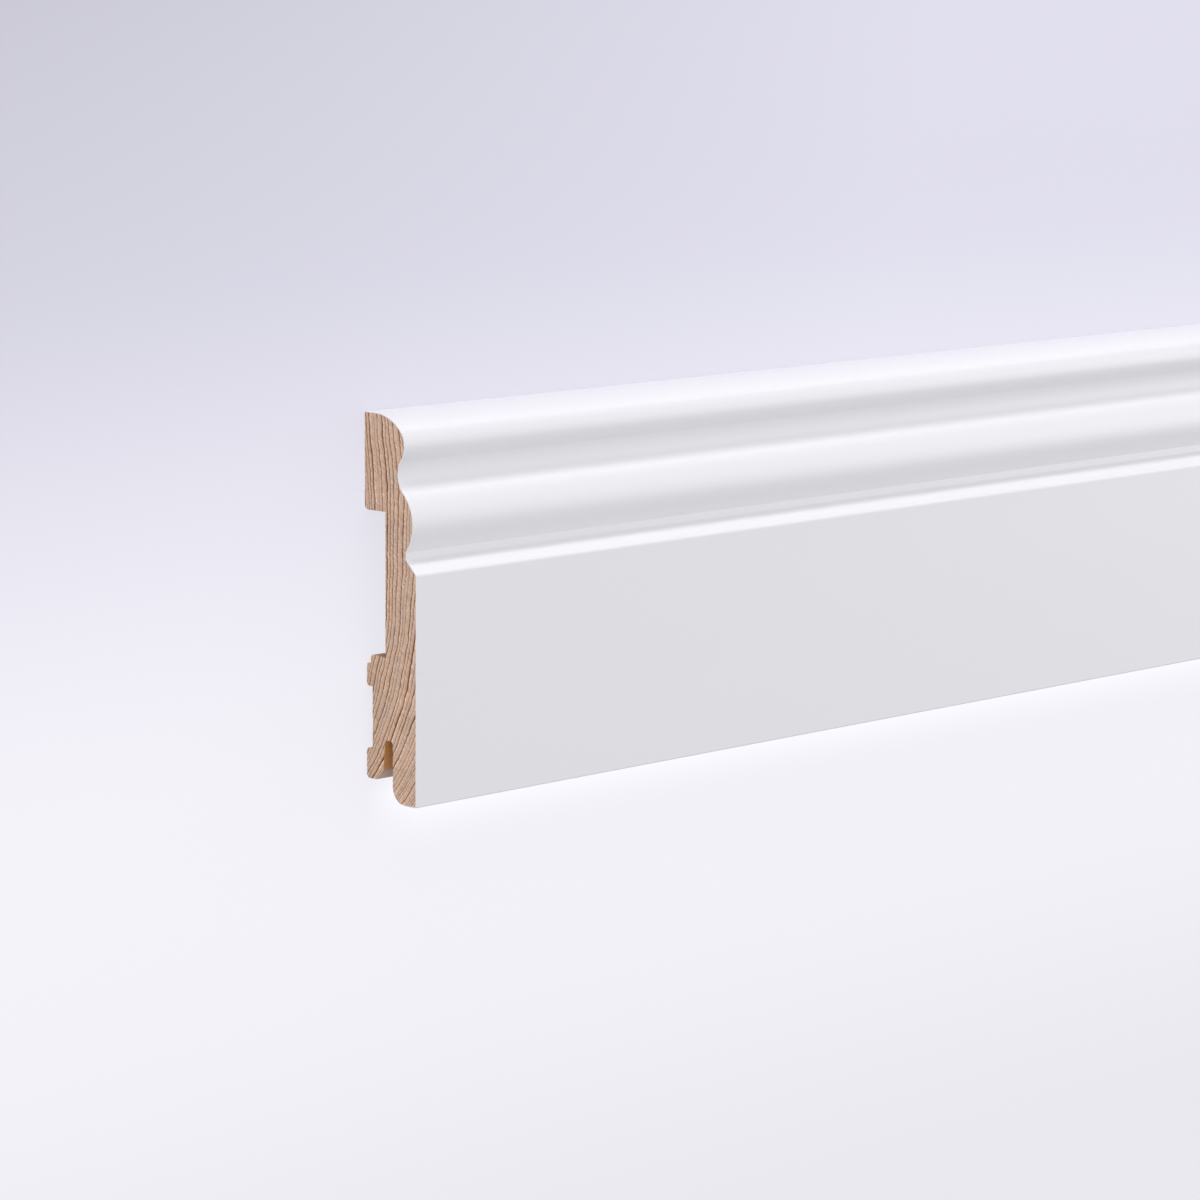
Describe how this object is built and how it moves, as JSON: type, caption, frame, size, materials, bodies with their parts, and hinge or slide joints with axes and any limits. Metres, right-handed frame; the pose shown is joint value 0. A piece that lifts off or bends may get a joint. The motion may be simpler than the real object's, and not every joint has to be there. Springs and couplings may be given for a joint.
{
  "type": "skirting board",
  "caption": "Straight length of moulded skirting board: ogee top edge, white lacquered face, and a milled wall side with wall pads, a clip slot and a cable channel.",
  "frame": {"origin": "middle of the footprint of the board as it lies on its back: half way along its length, half way between the foot and the top edge, on the plane of the back of the head", "axes": "+X along the length, +Y from the foot to the moulded top edge, +Z from the wall side to the white face"},
  "size_m": [2.4, 0.096, 0.018],
  "materials": {
    "lacquered_softwood": "satin white lacquer on the moulded face, the top edge and the foot; bare planed softwood on the wall side and bare sawn end grain at both ends"
  },
  "bodies": {
    "root": {"skirting_board": "lacquered_softwood"}
  },
  "joints": []
}
